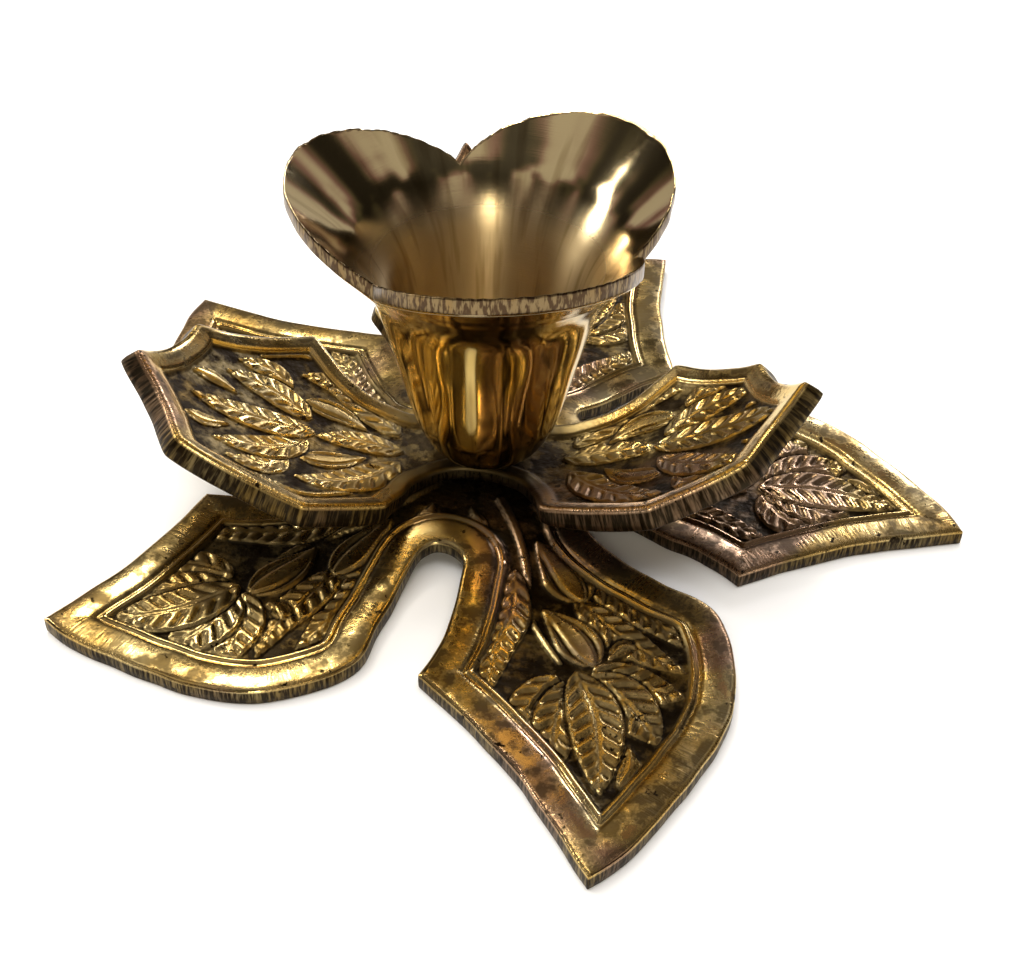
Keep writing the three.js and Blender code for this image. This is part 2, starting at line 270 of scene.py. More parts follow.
def figure_height(points, kind, spine, width):
    """(height from 0 to 1, distance inside the figure's edge) at the points."""
    line = curve_through(spine, 14)
    step = np.gradient(line, axis=0)
    step /= np.hypot(*step.T)[:, None]
    run = np.r_[0, np.cumsum(np.hypot(*np.diff(line, axis=0).T))]
    apart = points[:, None, :] - line[None, :, :]
    nearest = (apart ** 2).sum(2).argmin(1)
    offset = apart[np.arange(len(points)), nearest]
    heading = step[nearest]
    along = run[nearest] + (offset * heading).sum(1)
    aside = offset[:, 1] * heading[:, 0] - offset[:, 0] * heading[:, 1]
    share = along / run[-1]
    inside_span = np.clip(share, 0, 1)
    if kind == "stem" or kind == "scroll":
        half_width = width / 2 * (1 - 0.5 * inside_span)
    elif kind == "drop":
        half_width = width / 2 * np.sin(math.pi * inside_span ** 1.5) ** 0.6
    else:
        half_width = width / 2 * np.sin(math.pi * inside_span ** 0.8) ** 0.75
    off_end = np.maximum(np.maximum(-along, along - run[-1]), 0)
    depth = half_width - np.hypot(aside, off_end)
    depth = np.where(off_end > 0, -np.hypot(aside, off_end), depth)
    height = smooth(depth, 0, figure_edge)
    across = np.abs(aside) / np.maximum(half_width, 0.05)
    if kind == "feather":
        # Cuts slant back from the vein. They start beside it and stop short of the edge.
        barbs = (along - 0.75 * np.abs(aside)) / barb_pitch
        cut = np.exp(-(((barbs % 1) - 0.5) / 0.19) ** 2) * smooth(across, 0.14, 0.26)
        cut *= 1 - smooth(across, 0.74, 0.9)
        vein = np.exp(-(aside / 0.2) ** 2) * smooth(share, 0.05, 0.2) * (1 - smooth(share, 0.8, 0.95))
        height *= 1 - 0.75 * np.maximum(cut, 0.6 * vein)
    elif kind == "drop":
        groove = np.exp(-((across - 0.56) / 0.13) ** 2) * smooth(share, 0.1, 0.3)
        height *= 0.9 + 0.1 * (1 - across.clip(0, 1) ** 2)
        height *= 1 - 0.8 * groove
    return height, depth


def chase(points, figures, seed):
    """The ornament's height from 0 in the ground to 1 on the figures' flat tops."""
    draw = np.random.default_rng(seed)
    height = np.zeros(len(points))
    for kind, spine, width in figures:
        shifted = np.asarray(spine, float) + draw.normal(0, 0.28, (len(spine), 2))
        span = width * draw.uniform(0.92, 1.1)
        near = (np.abs(points - shifted.mean(0)).max(1) < 22)
        if not near.any():
            continue
        figure, depth = figure_height(points[near], kind, shifted, span)
        clear_round = smooth(depth, -0.5, -0.22)
        height[near] = height[near] * (1 - clear_round) + figure * clear_round
    return height


def border_profile(depths, heights):
    """A border's cross-section: height in mm over distance from the edge, with soft corners."""
    def section(distance):
        wide = [np.interp(distance + shift, depths, heights) for shift in (-0.12, 0, 0.12)]
        return sum(wide) / 3
    return section


# From the edge: a filed round, a flat rim a little hollow, a cut line, a bead, and the ground.
lower_border = border_profile(
    [0, 0.12, 0.4, 1.2, 2.6, 4.3, 4.9, 5.15, 5.45, 5.8, 6.2, 6.9],
    [-0.42, -0.22, -0.1, -0.02, 0, -0.16, -0.30, -0.62, -0.55, -0.16, -0.2, -1.05])
field_start = 6.9
relief = 0.72


def lower_top(points):
    radius = np.hypot(*points.T)
    drop = smooth(radius, dome_start, dome_end)
    return lower_hub_top + (lower_thickness - lower_hub_top) * drop


def lower_underside(points):
    radius = np.hypot(*points.T)
    return (lower_hub_top - lower_hub_thickness) * (1 - smooth(radius, dome_start, dome_end))


def nearest_on(loop, points):
    """Distance to the closed outline, and the number of its nearest point, for each point."""
    tree = KDTree(len(loop))
    for number, (x, y) in enumerate(loop):
        tree.insert((x, y, 0), number)
    tree.balance()
    found = [tree.find((x, y, 0)) for x, y in points]
    return np.array([hit[2] for hit in found]), np.array([hit[1] for hit in found])


def inward(loop):
    along = np.roll(loop, -1, axis=0) - np.roll(loop, 1, axis=0)
    along /= np.hypot(*along.T)[:, None]
    return np.column_stack([-along[:, 1], along[:, 0]])


def plan_points(loop, ring_depths, spacing, hole_radius):
    """Points inside the outline: rings that follow the border, then an even field.
    Returns the points, their distance from the edge and the nearest outline point's number."""
    fine = even_loop(loop, 0.1)
    fine_normals = inward(fine)
    normals = inward(loop)
    low, high = loop.min(0), loop.max(0)
    rows = np.arange(low[1], high[1], spacing * 0.866)
    columns = np.arange(low[0], high[0], spacing)
    grid = np.array([(x + (i % 2) * spacing / 2, y) for i, y in enumerate(rows) for x in columns])
    sheets = [loop + normals * depth for depth in ring_depths]
    wanted = np.r_[np.concatenate([np.full(len(loop), depth) for depth in ring_depths]),
                   np.full(len(grid), ring_depths[-1] + spacing * 0.6)]
    points = np.vstack([*sheets, grid])
    distance, number = nearest_on(fine, points)
    side = ((points - fine[number]) * fine_normals[number]).sum(1)
    keep = (side > 0) & (distance > wanted * 0.985 - 0.01)
    keep &= np.hypot(*points.T) > hole_radius + spacing * 0.5
    return points[keep], distance[keep], number[keep] * 0.1


def triangulate(loop, inner_points, hole_radius):
    """Fills the outline with triangles, round the stud's hole. Returns them and the hole's ring."""
    ring = np.array([(hole_radius * math.cos(a), hole_radius * math.sin(a))
                     for a in np.linspace(0, 2 * math.pi, 48, endpoint=False)])
    corners = np.vstack([loop, ring, inner_points])
    edges = [(i, (i + 1) % len(loop)) for i in range(len(loop))]
    edges += [(len(loop) + i, len(loop) + (i + 1) % len(ring)) for i in range(len(ring))]
    made, _, faces, origin, *_ = delaunay_2d_cdt([Vector(p) for p in corners], edges, [], 0, 1e-7, True)
    faces = np.array(faces)
    source = np.array([o[0] if o else -1 for o in origin])
    middles = np.array(made)[faces].mean(1)
    keep = np.hypot(*middles.T) > hole_radius * 0.99
    on_edge = np.flatnonzero((source[faces] < len(loop)).all(1))
    fine = even_loop(loop, 0.1)
    _, number = nearest_on(fine, middles[on_edge])
    keep[on_edge] &= ((middles[on_edge] - fine[number]) * inward(fine)[number]).sum(1) > 0
    return source[faces[keep]], ring


def smooth_piece(name, points, faces, marks, layer):
    """A piece from stacks of points in mm. Its marks, three numbers a point, go in a layer."""
    mesh = bpy.data.meshes.new(name)
    mesh.from_pydata((np.vstack(points) * MM).tolist(), [], faces)
    if marks is not None:
        mesh.attributes.new(layer, "FLOAT_VECTOR", "POINT").data.foreach_set(
            "vector", np.vstack(marks).astype(np.float32).ravel())
    mesh.shade_smooth()
    piece = bpy.data.objects.new(name, mesh)
    bpy.context.collection.objects.link(piece)
    return piece


def build_plate(name, loop, ring_depths, spacing, hole_radius, sheet, carve, side_rows):
    """A plate's closed skin: chased top, filed side and plain underside.
    Its chasing attribute holds mm along the edge, mm from it (negative down the side) and height."""
    inner, depth, along = plan_points(loop, ring_depths, spacing, hole_radius)
    coarse, _, _ = plan_points(loop, ring_depths=[1.2], spacing=2.4, hole_radius=hole_radius)
    hole_mark, under_mark, side_mark = 20.0, -9.0, -3
    top_faces, ring = triangulate(loop, inner, hole_radius)
    under_faces, _ = triangulate(loop, coarse, hole_radius)
    count = len(loop)
    edge_along = np.arange(count) * np.hypot(*(loop[1] - loop[0]))
    plan = np.vstack([loop, ring, inner])
    plan_depth = np.r_[np.zeros(count), np.full(len(ring), hole_mark), depth]
    plan_along = np.r_[edge_along, np.zeros(len(ring)), along]
    rise, height = carve(plan, plan_depth)
    vertices = [sheet(plan, 0, rise)]
    marks = [np.column_stack([plan_along, plan_depth, height])]
    rows = [np.arange(count)]
    made = len(plan)
    for down, swell in side_rows:
        vertices.append(sheet(loop - inward(loop) * swell, down, rise[:count] * (1 - down)))
        marks.append(np.column_stack([edge_along, np.full(count, side_mark * down), np.ones(count)]))
        rows.append(np.arange(made, made + count))
        made += count
    under_plan = np.vstack([loop + inward(loop) * 0.25, ring, coarse])
    vertices.append(sheet(under_plan, 1, 0))
    marks.append(np.column_stack([np.zeros(len(under_plan)), np.full(len(under_plan), under_mark),
                                  np.ones(len(under_plan))]))
    rows.append(np.arange(made, made + count))
    walls = [np.column_stack([b, np.roll(b, -1), np.roll(a, -1), a]) for a, b in zip(rows, rows[1:])]
    hole_top = np.arange(count, count + len(ring))
    hole_under = made + hole_top
    walls.append(np.column_stack([hole_top, np.roll(hole_top, -1), np.roll(hole_under, -1), hole_under]))
    faces = [*top_faces.tolist(), *(made + under_faces[:, ::-1]).tolist(), *np.vstack(walls).tolist()]
    return smooth_piece(name, vertices, faces, marks, "chasing")


def relief_on(points, depth, leaves, swirl, figures, start, seed):
    """The ornament over a whole plate, each leaf's figures in that leaf's own frame."""
    turns = np.array([leaf[0] for leaf in leaves], float)
    bearing = np.degrees(np.arctan2(points[:, 1], points[:, 0]))[:, None]
    apart = np.abs((bearing - turns[None, :] - swirl + 180) % 360 - 180)
    owner = apart.argmin(1)
    height = np.zeros(len(points))
    for number, turn in enumerate(turns):
        mine = (owner == number) & (depth > start - 1.2)
        height[mine] = chase(turned(points[mine], -turn), figures, seed + number)
    return height * smooth(depth, start - 0.4, start + 0.5)


def lower_carving(plan, depth):
    """Rise over the sheet's plain top in mm, and how rubbed each point is, from 0 to 1."""
    height = relief_on(plan, depth, lower_leaves, swirl=9, figures=lower_figures,
                       start=field_start, seed=11)
    field = smooth(depth, field_start - 0.3, field_start + 0.3)
    rise = lower_border(depth) + relief * height * field
    rise += 0.05 * ripple(plan, size=4.5, seed=3) * smooth(depth, 0.1, 1.0)
    rise += 0.06 * ripple(plan, size=0.8, seed=5) * field * (1 - height)
    return rise, np.where(depth < field_start - 0.5, 1.0, height)


def lower_sheet(plan, down, rise):
    return np.column_stack([plan, lower_top(plan) * (1 - down) + lower_underside(plan) * down + rise])


lower_loop = np.vstack([
    turned(lower_leaf_edge(reach, (lower_leaves[(i + 1) % 5][0] - turn) % 360), turn)
    for i, (turn, reach) in enumerate(lower_leaves)])
lower_loop = even_loop(lower_loop, 0.4)
lower_loop += inward(lower_loop) * (0.1 + 0.09 * ripple(lower_loop, size=3.5, seed=8))[:, None]
border_rings = [0.1, 0.24, 0.45, 0.8, 1.3, 1.9, 2.6, 3.3, 3.9, 4.4, 4.75, 5.0, 5.25, 5.5, 5.8, 6.15, 6.5]
stud_hole = 2.8
lower_plate = build_plate("lower_leaves_chased", lower_loop, border_rings, 0.33, stud_hole,
                          lower_sheet, lower_carving, [(0.1, 0.04), (0.5, 0.08), (0.92, 0)])


def new_metal(name):
    """A bare metal, as its material, node tree, shader, and place on the object."""
    material = bpy.data.materials.new(name)
    material.use_nodes = True
    tree = material.node_tree
    shader = tree.nodes["Principled BSDF"]
    shader.inputs["Metallic"].default_value = 1
    here = add_node(tree, "ShaderNodeTexCoord", {}).outputs["Object"]
    return material, tree, shader, here


def cast_brass(name, ground_depth):
    """Yellow brass, cast, filed and chased, dipped in dark patina and rubbed back on the high
    parts: bright warm tops and edges, brown-black sunk ground, fine file marks across the rim."""
    material, tree, shader, here = new_metal(name)
    chasing = add_node(tree, "ShaderNodeAttribute", {}, attribute_name="chasing").outputs["Vector"]
    _, inside, height = add_node(tree, "ShaderNodeSeparateXYZ", {"Vector": chasing}).outputs

    # The uneven parts of the finish, from the coarsest to the finest, as scale, detail, roughness.
    pink_reflection_noise, rim_patches, shades, smears, blotches, clouds, specks, pits = [
        add_node(tree, "ShaderNodeTexNoise", {
            "Vector": here, "Scale": scale, "Detail": detail, "Roughness": fine_share})
        for scale, detail, fine_share in [
            (32, 2, 0.5), (45, 1, 0.5), (90, 3, 0.5), (210, 5, 0.65),
            (260, 5, 0.62), (330, 3, 0.5), (620, 4, 0.6), (1500, 3, 0.5)]]

    # The patina stays in the sunk ground, thinly on some figures and in flakes about 1 mm wide.
    # Round the hub, under the cup, the dark tone is partly patina and partly painted shade.
    low = add_node(tree, "ShaderNodeMapRange", {"Value": height, "From Min": 0.7, "From Max": 0.25})
    field = add_node(tree, "ShaderNodeMapRange", {
        "Value": inside, "From Min": ground_depth - 1.1, "From Max": ground_depth - 0.1})
    sunk = add_node(tree, "ShaderNodeMath", {0: low, 1: field}, operation="MULTIPLY")
    left_in_ground = add_node(tree, "ShaderNodeMapRange", {
        "Value": blotches, "From Min": 0.64, "From Max": 0.47, "To Min": 0.7})
    left_on_figures = add_node(tree, "ShaderNodeMapRange", {
        "Value": blotches, "From Min": 0.58, "From Max": 0.42, "To Max": 0.5})
    flake_edges = add_node(tree, "ShaderNodeMapRange", {
        "Value": specks, "From Min": 0.59, "From Max": 0.63})
    flaky_parts = add_node(tree, "ShaderNodeMapRange", {
        "Value": blotches, "From Min": 0.52, "From Max": 0.58})
    plan = add_node(tree, "ShaderNodeVectorMath", {0: here, 1: (1, 1, 0)}, operation="MULTIPLY")
    radius = add_node(tree, "ShaderNodeVectorMath", {0: plan}, operation="LENGTH").outputs["Value"]
    # Partly painted shade: near the hub, under the cup, the colour goes dark, up to 0.92 of the way.
    hub_patina_and_shade = add_node(tree, "ShaderNodeMapRange", {
        "Value": radius, "From Min": 0.025, "From Max": 0.013, "To Max": 0.92})

    # File strokes run from the edge inwards and down the side, about 0.4 mm apart. They cover
    # the side and parts of the rim, and the side's colour is darker towards the bottom.
    stroke_place = add_node(tree, "ShaderNodeVectorMath", {0: chasing, 1: (2.4, 0.22, 0)},
                            operation="MULTIPLY")
    strokes = add_node(tree, "ShaderNodeTexNoise", {
        "Vector": stroke_place, "Scale": 1, "Detail": 2.5, "Roughness": 0.6})
    side = add_node(tree, "ShaderNodeMapRange", {"Value": inside, "From Min": -0.08, "From Max": -0.28})
    filed_patches = add_node(tree, "ShaderNodeMapRange", {
        "Value": rim_patches, "From Min": 0.45, "From Max": 0.55})
    flat_rim = add_node(tree, "ShaderNodeMapRange", {
        "Value": inside, "From Min": ground_depth - 1.8, "From Max": ground_depth - 2.6, "To Max": 0.75})
    filed_rim = add_node(tree, "ShaderNodeMath", {0: filed_patches, 1: flat_rim}, operation="MULTIPLY")
    filed = add_node(tree, "ShaderNodeMath", {0: side, 1: filed_rim}, operation="MAXIMUM")
    dark_strokes = add_node(tree, "ShaderNodeMapRange", {
        "Value": strokes, "From Min": 0.48, "From Max": 0.6, "To Max": 0.85})
    side_strokes = add_node(tree, "ShaderNodeMapRange", {
        "Value": strokes, "From Min": 0.36, "From Max": 0.56, "To Min": 0.72})
    low_side = add_node(tree, "ShaderNodeMapRange", {
        "Value": inside, "From Min": -0.12, "From Max": -0.5})
    smeared = add_node(tree, "ShaderNodeMapRange", {
        "Value": smears, "From Min": 0.43, "From Max": 0.57, "To Max": 0.82})
    off_edge = add_node(tree, "ShaderNodeMapRange", {"Value": inside, "From Min": 0.3, "From Max": 0.75})
    rim_stain = add_node(tree, "ShaderNodeMath", {0: smeared, 1: off_edge}, operation="MULTIPLY")
    outside_field = add_node(tree, "ShaderNodeMapRange", {
        "Value": inside, "From Min": ground_depth - 1.1, "From Max": ground_depth - 1.9})

    # Each layer is held to its own part of the casting, and where layers meet the thicker shows.
    patina_and_hub_shade = hub_patina_and_shade
    for layer, part in ((left_in_ground, sunk), (left_on_figures, field), (flake_edges, flaky_parts),
                        (dark_strokes, filed), (side_strokes, low_side), (rim_stain, outside_field)):
        layer = add_node(tree, "ShaderNodeMath", {0: layer, 1: part}, operation="MULTIPLY")
        patina_and_hub_shade = add_node(tree, "ShaderNodeMath", {0: patina_and_hub_shade, 1: layer}, operation="MAXIMUM")

    # The metal itself goes from pale to warm yellow, with pinkish patches painted on as reflections.
    warmth = add_node(tree, "ShaderNodeMapRange", {"Value": shades, "From Min": 0.38, "From Max": 0.62})
    yellow = add_node(tree, "ShaderNodeMixRGB", {
        "Fac": warmth, "Color1": hex_colour("D3BC84"), "Color2": hex_colour("C6A35C")})
    painted_pink_reflections = add_node(tree, "ShaderNodeMapRange", {
        "Value": pink_reflection_noise, "From Min": 0.54, "From Max": 0.59, "To Max": 0.55})
    # Painted reflection: pinkish patches mixed into the bright metal's colour.
    clean = add_node(tree, "ShaderNodeMixRGB", {
        "Fac": painted_pink_reflections, "Color1": yellow, "Color2": hex_colour("B48E86")})
    greyness = add_node(tree, "ShaderNodeMapRange", {"Value": clouds, "From Min": 0.42, "From Max": 0.6})
    dark = add_node(tree, "ShaderNodeMixRGB", {
        "Fac": greyness, "Color1": hex_colour("21180C"), "Color2": hex_colour("322A1E")})
    metal = add_node(tree, "ShaderNodeMixRGB", {"Fac": patina_and_hub_shade, "Color1": clean, "Color2": dark})
    tree.links.new(metal.outputs["Color"], shader.inputs["Base Color"])

    # Rubbed brass is nearly a mirror. Patina, file strokes and worn figures are duller.
    roughness = add_node(tree, "ShaderNodeMapRange", {"Value": patina_and_hub_shade, "To Min": 0.13, "To Max": 0.42})
    for layer, extra in ((filed, 0.1), (field, 0.05), (specks, 0.05)):
        roughness = add_node(tree, "ShaderNodeMath", {0: layer, 1: extra, 2: roughness},
                             operation="MULTIPLY_ADD")
    tree.links.new(roughness.outputs["Value"], shader.inputs["Roughness"])
    pit_depth = add_node(tree, "ShaderNodeMapRange", {"Value": sunk, "To Min": 0.25})
    grain = add_node(tree, "ShaderNodeMath", {0: pits, 1: pit_depth}, operation="MULTIPLY")
    grain = add_node(tree, "ShaderNodeMath", {0: strokes, 1: filed, 2: grain}, operation="MULTIPLY_ADD")
    bump = add_node(tree, "ShaderNodeBump", {"Height": grain, "Strength": 0.75, "Distance": 0.16 * MM})
    tree.links.new(bump.outputs["Normal"], shader.inputs["Normal"])
    return material


lower_plate.data.materials.append(cast_brass("cast_brass_dipped_lower", field_start))
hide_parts("lower_leaf_plate")
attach(lower_plate, "base")


# ---- Upper leaf plate ----
# One brass casting of three leaves, bent up by hand after casting and chased like the lower
# plate. Its edges are filed square to the sheet, and a wide gap is cut between the front leaves.

fit_gap = 0.3
upper_hub_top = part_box("seat_washer")[0].z / MM - fit_gap
upper_thickness, upper_rim_thickness = 2.6, 4.0
upper_leaves = [(184.5, 53.2, 20.6, 1.04, (9.2, 0.3), (15.6, 0.5)),
                (349.8, 48.6, 21.5, 0.88, (15.2, 0.5), (8.8, 0.3)),
                (96.0, 52.0, 28.8, 0.80, (9.6, 0.3), (9.2, 0.3))]
bend_start, bend_power, lip_share, lip_power = 12.0, 1.35, 0.25, 8
tip_length, corner_width = 7.0, 14.6
side_bend, tip_bend = (0.52, 0.58), (0.4, 0.52)
upper_shoulder = np.array([28, 21.7])
neck_along, neck_middle, hub_radius = 12.2, 0.52, 7.6
front_gap_turn, front_gap_end, front_gap_half = 262, 5.6, 10.3


def upper_half_edge(reach, breadth, neck_width, widening):
    """Half a leaf's edge, from the hub by its neck, shoulder and far corner to the tip."""
    neck = np.array([neck_along, neck_width])
    wide = upper_shoulder * [1, breadth]
    corner = np.array([reach - tip_length, corner_width * breadth])
    tip = np.array([reach, 0])

    def bent(start, end, bend):
        return curve_through([start, start + (end - start) * bend, end], 16)[1:]

    return np.vstack([[0, hub_radius], neck, bent(neck, wide, (neck_middle, widening)),
                      bent(wide, corner, side_bend), bent(corner, tip, tip_bend)])


def spliced(first, second):
    """The first line up to where it crosses the second, and then the second."""
    a, b = first[:-1, None], second[None, :-1]
    along_a, along_b = (first[1:] - first[:-1])[:, None], (second[1:] - second[:-1])[None]

    def cross(u, v):
        return u[..., 0] * v[..., 1] - u[..., 1] * v[..., 0]

    across = cross(along_a, along_b)
    across = np.where(np.abs(across) < 1e-9, 1e-9, across)
    on_a = cross(b - a, along_b) / across
    on_b = cross(b - a, along_a) / across
    met = np.argwhere((on_a >= 0) & (on_a <= 1) & (on_b >= 0) & (on_b <= 1))
    i, j = met[0]
    point = first[i] + (first[i + 1] - first[i]) * on_a[i, j]
    return np.vstack([first[:i + 1], [point], second[j + 1:]])


def upper_leaf_sides(turn, reach, rise, breadth, clockwise_neck, other_neck):
    clockwise = upper_half_edge(reach, breadth, *clockwise_neck) * [1, -1]
    other = upper_half_edge(reach, breadth, *other_neck)[::-1]
    return turned(np.vstack([clockwise, other[1:]]), turn)


left_leaf, right_leaf, back_leaf = (upper_leaf_sides(*leaf) for leaf in upper_leaves)
# One side of the front gap, as (mm beyond its inner end, half gap widths to the side).
gap_side = [(0, 0), (0.8, 0.42), (2.6, 0.75), (5.6, 0.92), (9.6, 1.02), (14.6, 1.15), (30, 1.5)]
gap_side = np.array(gap_side) * [1, front_gap_half] + [front_gap_end, 0]
front_gap = turned(curve_through(np.vstack([gap_side[::-1] * [1, -1], gap_side[1:]]), 16), front_gap_turn)
right_tip = len(right_leaf) // 2
upper_edge = spliced(spliced(spliced(right_leaf[right_tip:], back_leaf), left_leaf), front_gap)
upper_edge = spliced(upper_edge, right_leaf[:right_tip])
upper_loop = even_loop(upper_edge, 0.3)


def rounded(loop, width):
    """The closed outline with its corners softened over about this many points."""
    reach = np.arange(-3 * width, 3 * width + 1)
    weights = np.exp(-(reach / width) ** 2 / 2)
    weights /= weights.sum()
    return sum(np.roll(loop, int(shift), axis=0) * weight for shift, weight in zip(reach, weights))


# The leaves' filed corners are only eased, and the bends near the hub are well rounded.
inner_bend = smooth(np.hypot(*upper_loop.T), 17, 13)[:, None]
upper_loop = rounded(upper_loop, 2.4) * (1 - inner_bend) + rounded(upper_loop, 6) * inner_bend
upper_loop = even_loop(upper_loop, 0.33)
upper_loop += inward(upper_loop) * (0.1 + 0.1 * ripple(upper_loop, size=3.0, seed=21))[:, None]


def upper_rise(plan):
    """Height over the hub and slope of the bent sheet at plan points, by the nearest leaf."""
    turns = np.array([leaf[0] for leaf in upper_leaves])
    bearing = np.degrees(np.arctan2(plan[:, 1], plan[:, 0]))[:, None]
    owner = np.abs((bearing - turns[None, :] + 180) % 360 - 180).argmin(1)
    reach = np.array([leaf[1] for leaf in upper_leaves])[owner]
    rise = np.array([leaf[2] for leaf in upper_leaves])[owner]

    def height(radius):
        share = np.maximum(0, (radius - bend_start) / (reach - bend_start))
        return rise * ((1 - lip_share) * share ** bend_power + lip_share * share ** lip_power)

    radius = np.hypot(*plan.T)
    return height(radius), (height(radius + 0.05) - height(radius - 0.05)) / 0.1


def upper_sheet(plan, down, rise):
    height, slope = upper_rise(plan)
    radius = np.hypot(*plan.T)
    outward = plan / np.maximum(radius, 1e-6)[:, None]
    length = np.hypot(1, slope)
    thicker = (upper_rim_thickness - upper_thickness) * smooth(radius, bend_start, upper_shoulder[0])
    off = rise - (upper_thickness + thicker) * down
    return np.column_stack([plan - outward * (slope / length * off)[:, None],
                            upper_hub_top + height + off / length])


upper_figures = [
    ("scroll", [(17, 10.5), (23, 15.6), (29, 17.6), (37, 14.6)], 1.6),
    ("scroll", [(17, -10.5), (23, -15.6), (29, -17.6), (37, -14.6)], 1.6),
    ("feather", [(14, 3.6), (18.5, 8.6), (24, 12.6), (30, 13.4)], 6.6),
    ("feather", [(14, -3.6), (18.5, -8.6), (24, -12.6), (30, -13.4)], 6.6),
    ("feather", [(13, 0.4), (20, 0.2), (28, 0.6)], 5.2),
    ("drop", [(19, 3.4), (24, 6.2), (29.5, 7.4)], 4.6),
    ("drop", [(19, -3.4), (24, -6.2), (29.5, -7.4)], 4.6),
    ("feather", [(31, 9.0), (34.5, 12.4), (40, 12.6)], 4.6),
    ("feather", [(31, -9.0), (34.5, -12.4), (40, -12.6)], 4.6),
    ("feather", [(28, 3.0), (34, 7.0), (41.5, 9.0)], 5.6),
    ("feather", [(28, -3.0), (34, -7.0), (41.5, -9.0)], 5.6),
    ("feather", [(27, 0.2), (36, 0.4), (46.5, 0.2)], 6.2),
    ("drop", [(39.5, 4.2), (43, 5.6), (46, 5.2)], 2.8),
    ("drop", [(39.5, -4.2), (43, -5.6), (46, -5.2)], 2.8),
]
upper_border = border_profile([0, 0.1, 0.45, 0.7, 1.9, 2.5, 2.9, 3.3],
                              [-0.5, -0.3, -0.04, 0, -0.1, -0.16, -0.4, -0.78])
upper_field_start = 3.3
upper_relief = 0.5


def upper_carving(plan, depth):
    height = relief_on(plan, depth, upper_leaves, swirl=0, figures=upper_figures,
                       start=upper_field_start, seed=31)
    field = smooth(depth, upper_field_start - 0.3, upper_field_start + 0.3)
    rise = upper_border(depth) + upper_relief * height * field
    rise += 0.04 * ripple(plan, size=4.0, seed=23) * smooth(depth, 0.1, 1.0) - 0.04
    rise += 0.05 * ripple(plan, size=0.8, seed=25) * field * (1 - height)
    return rise, np.where(depth < upper_field_start - 0.5, 1.0, height)


upper_rings = [0.1, 0.24, 0.42, 0.7, 1.1, 1.6, 2.1, 2.45, 2.75, 3.05, 3.35]
upper_plate = build_plate("upper_leaves_chased", upper_loop, upper_rings, 0.27, stud_hole,
                          upper_sheet, upper_carving,
                          [(0.08, 0.02), (0.35, 0.06), (0.65, 0.08), (0.93, 0)])
upper_plate.data.materials.append(cast_brass("cast_brass_dipped_upper", upper_field_start))
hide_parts("upper_leaf_plate")
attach(upper_plate, "upper_leaves")


# ---- Oil cup ----
# A bell turned from brass on a lathe. Its rim is cut into three lobes and ground flat, the lobes
# are buffed inside, and the well keeps the fine rings of the turning tool.

cup_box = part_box("oil_cup")
cup_foot_z = cup_box[0].z / MM
foot_radius, notch_radius, lobe_radius = 5.5, 21.6, 30.2
first_notch, lobe_bow = 104, 0.83
cup_wall, cup_floor = 2.0, 5.5
# The outer wall as (radius, height over the foot): round bottom, body, neck, notch and lobe.
cup_profile = [(foot_radius, 0), (8.6, 1.1), (11.0, 5.4), (12.3, 9.5), (14.9, 20.0), (17.6, 29.6),
               (notch_radius, 35.7), (25.9, 39.993), (lobe_radius + 1.46, 45.17)]
cup_outer = curve_through([(radius, cup_foot_z + height) for radius, height in cup_profile], 40)
cup_run = np.r_[0, np.cumsum(np.hypot(*np.diff(cup_outer, axis=0).T))]
around = np.linspace(0, 2 * math.pi, 384, endpoint=False)
lobe_share = ((np.degrees(around) - first_notch) % 120) / 120
rim_radius = notch_radius + (lobe_radius - notch_radius) * np.sin(math.pi * lobe_share) ** lobe_bow
rim_radius += 0.09 * np.sin(around * 31 + 2 * np.sin(around * 5)) * np.sin(around * 7 + 1)
slope = np.gradient(cup_outer, axis=0)
slope /= np.hypot(*slope.T)[:, None]
cup_inner = cup_outer + np.column_stack([-slope[:, 1], slope[:, 0]]) * cup_wall


def hammer(run):
    """Shallow upright facets that hand buffing leaves in the outer wall, in mm."""
    return sum(depth * np.sin(waves * around + lean * run + start) for waves, depth, lean, start in
               [(9, 0.045, 0.02, 0), (14, 0.035, -0.03, 1), (23, 0.02, 0.02, 2), (5, 0.05, 0.01, 4)])


def closed_rings(name, rings, marks=None, capped=True):
    """A turned skin from rings of points, each joined to the next. Its end rings are either
    capped, or joined to each other as round a hole."""
    count = len(rings[0])
    steps = np.arange(count)
    faces = [np.column_stack([k * count + steps, k * count + np.roll(steps, -1),
                              (k + 1) * count + np.roll(steps, -1), (k + 1) * count + steps])
             for k in range(len(rings) - 1)]
    last = (len(rings) - 1) * count + steps
    if not capped:
        faces.append(np.column_stack([last, np.roll(last, -1), np.roll(steps, -1), steps]))
    faces = np.vstack(faces).tolist()
    if capped:
        faces += [steps[::-1].tolist(), last.tolist()]
    return smooth_piece(name, rings, faces, marks, "turning")


stud_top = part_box("centre_stud")[1].z / MM
thread_top = stud_top + fit_gap
floor_z = cup_foot_z + cup_floor
hole_mark, rim_mark, corner_radius = -60, 200, 1.6
cup_rings = []
turning = []


def add_ring(radius, height, run):
    """Adds the next ring of the cup's skin. Its mark holds mm along the wall: negative outside,
    positive inside, and set apart in the stud's hole and on the rim."""
    cup_rings.append(np.column_stack([radius * np.cos(around), radius * np.sin(around),
                                      height + 0 * around]))
    turning.append(np.column_stack([np.cos(around), np.sin(around), run + 0 * around]))


for radius, height in [(stud_hole, thread_top), (stud_hole, cup_foot_z + 0.25),
                       (stud_hole + 0.25, cup_foot_z), (foot_radius - 0.1, cup_foot_z)]:
    add_ring(radius, height, hole_mark)

